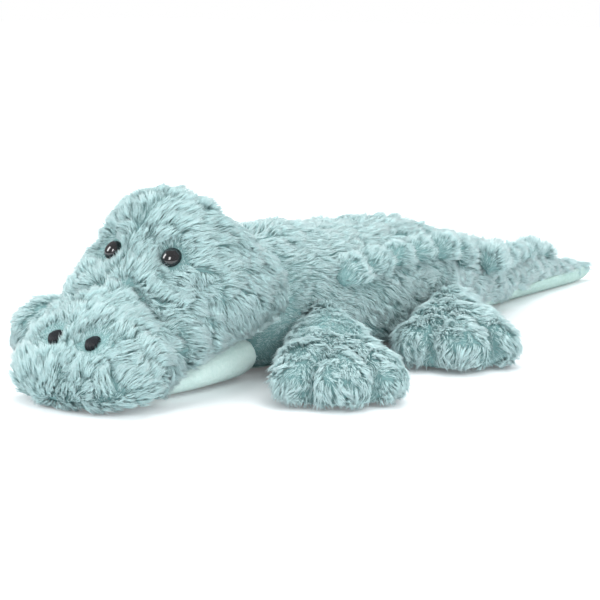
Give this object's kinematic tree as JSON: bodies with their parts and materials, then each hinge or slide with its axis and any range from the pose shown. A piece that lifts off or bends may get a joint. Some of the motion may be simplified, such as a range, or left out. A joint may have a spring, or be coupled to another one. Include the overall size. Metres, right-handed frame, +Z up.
{
  "type": "plush crocodile",
  "caption": "Furry stuffed toy crocodile lying on its belly, with a domed head, glossy eyes, splayed paws, a pale underside and rows of soft bumps down to a tapering tail.",
  "frame": {"origin": "centre of the overall box's bottom face, on the floor under the belly", "axes": "+Z up, nose towards -Y, tail towards +Y, the toy's own left side towards +X"},
  "size_m": [0.2788, 0.571, 0.107],
  "materials": {
    "fur_cloth": "deep blue-grey pile",
    "mint_cloth": "short mint nap",
    "polyester_fill": "loose polyester fibre",
    "eye_plastic": "polished",
    "washer_plastic": "moulded, unpainted",
    "nostril_thread": "satin-stitched thread"
  },
  "bodies": {
    "torso": {"body_cover": "fur_cloth", "belly_panel": "mint_cloth", "body_stuffing": "polyester_fill", "left_back_ridge": "fur_cloth", "right_back_ridge": "fur_cloth"},
    "head": {"head_cover": "fur_cloth", "head_stuffing": "polyester_fill", "lower_jaw_cover": "mint_cloth", "lower_jaw_stuffing": "polyester_fill", "left_eye": "eye_plastic", "right_eye": "eye_plastic", "left_eye_washer": "washer_plastic", "right_eye_washer": "washer_plastic", "left_nostril": "nostril_thread", "right_nostril": "nostril_thread"},
    "left_front_leg": {"left_front_leg_cover": "fur_cloth", "left_front_leg_stuffing": "polyester_fill"},
    "right_front_leg": {"right_front_leg_cover": "fur_cloth", "right_front_leg_stuffing": "polyester_fill"},
    "left_rear_leg": {"left_rear_leg_cover": "fur_cloth", "left_rear_leg_stuffing": "polyester_fill"},
    "right_rear_leg": {"right_rear_leg_cover": "fur_cloth", "right_rear_leg_stuffing": "polyester_fill"},
    "tail": {"tail_cover": "fur_cloth", "tail_underside": "mint_cloth", "tail_stuffing": "polyester_fill", "left_tail_ridge": "fur_cloth", "right_tail_ridge": "fur_cloth", "tail_crest": "fur_cloth"}
  },
  "joints": [
    {"name": "neck_turn", "type": "hinge", "parent": "torso", "child": "head", "pos_m": [0, -0.128, 0.035], "axis": [0, 0, 1], "range_deg": [-10, 10], "stiffness_Nm_per_rad": 0.08},
    {"name": "left_front_leg_swing", "type": "hinge", "parent": "torso", "child": "left_front_leg", "pos_m": [0.05, -0.112, 0.0225], "axis": [0, 0, 1], "range_deg": [0, 15], "stiffness_Nm_per_rad": 0.03},
    {"name": "right_front_leg_swing", "type": "hinge", "parent": "torso", "child": "right_front_leg", "pos_m": [-0.05, -0.112, 0.0225], "axis": [0, 0, 1], "range_deg": [-15, 0], "stiffness_Nm_per_rad": 0.03},
    {"name": "left_rear_leg_swing", "type": "hinge", "parent": "torso", "child": "left_rear_leg", "pos_m": [0.046, 0.008, 0.0225], "axis": [0, 0, 1], "range_deg": [-12, 12], "stiffness_Nm_per_rad": 0.03},
    {"name": "right_rear_leg_swing", "type": "hinge", "parent": "torso", "child": "right_rear_leg", "pos_m": [-0.046, 0.008, 0.0225], "axis": [0, 0, 1], "range_deg": [-12, 12], "stiffness_Nm_per_rad": 0.03},
    {"name": "tail_wag", "type": "hinge", "parent": "torso", "child": "tail", "pos_m": [0, 0.06, 0.027], "axis": [0, 0, 1], "range_deg": [-12, 12], "stiffness_Nm_per_rad": 0.06}
  ]
}
